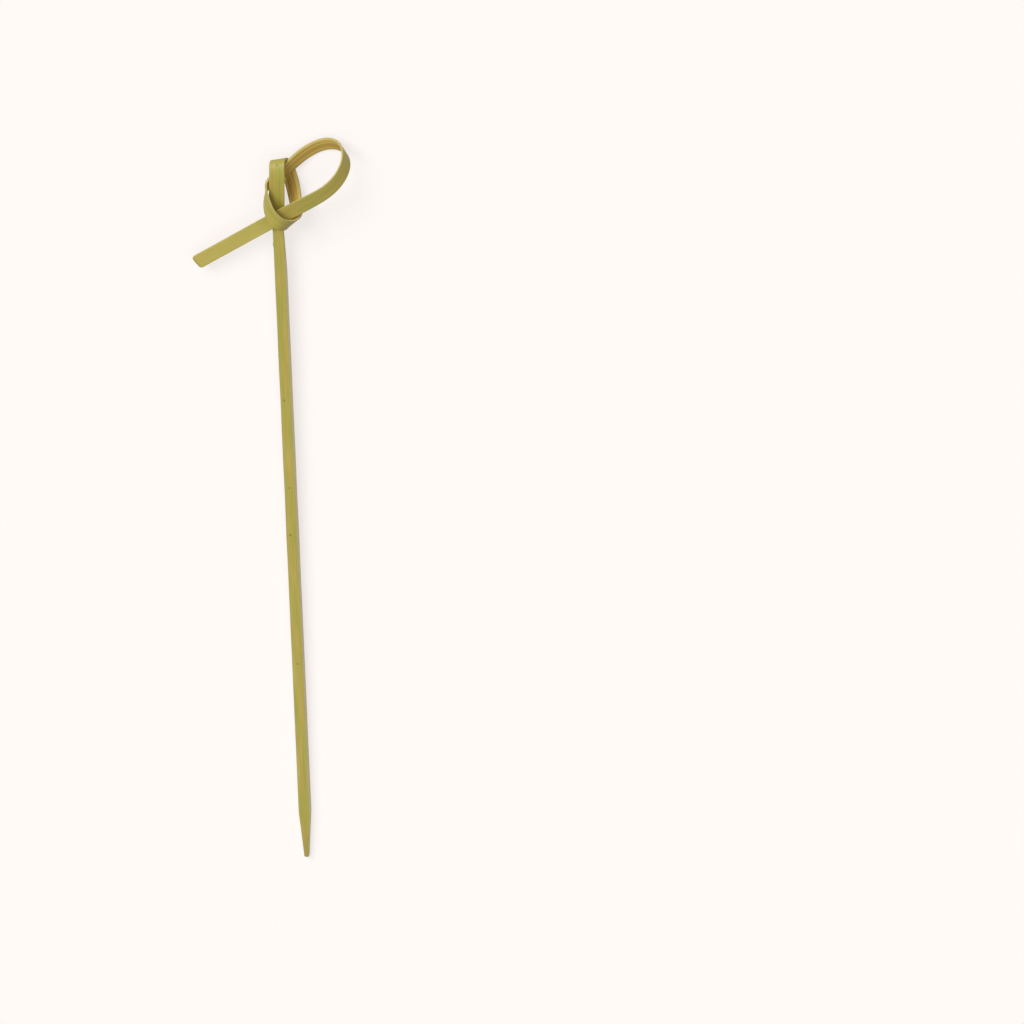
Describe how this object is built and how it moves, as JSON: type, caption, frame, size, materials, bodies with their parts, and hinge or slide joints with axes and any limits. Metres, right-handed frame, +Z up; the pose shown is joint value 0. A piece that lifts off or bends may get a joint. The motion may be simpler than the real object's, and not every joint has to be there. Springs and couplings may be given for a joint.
{
  "type": "bamboo knot pick",
  "caption": "Bamboo pick made of a single strip: squared shaft with a blunt point, and a flat pared end tied in a knot with a rounded loop and a short cut tail. Lies on its back.",
  "frame": {"origin": "centre of the bounding box in X and Y, on the surface that the pick lies on", "axes": "+X along the shaft from the point to the knot, +Y towards the tail, -Y towards the loop, +Z up, the way the green skin of the shaft faces"},
  "size_m": [0.15, 0.0306, 0.0092],
  "materials": {
    "bamboo": "green bamboo with its waxy skin on one face and bare fibre on the other"
  },
  "bodies": {
    "root": {"knotted_strip": "bamboo"}
  },
  "joints": []
}
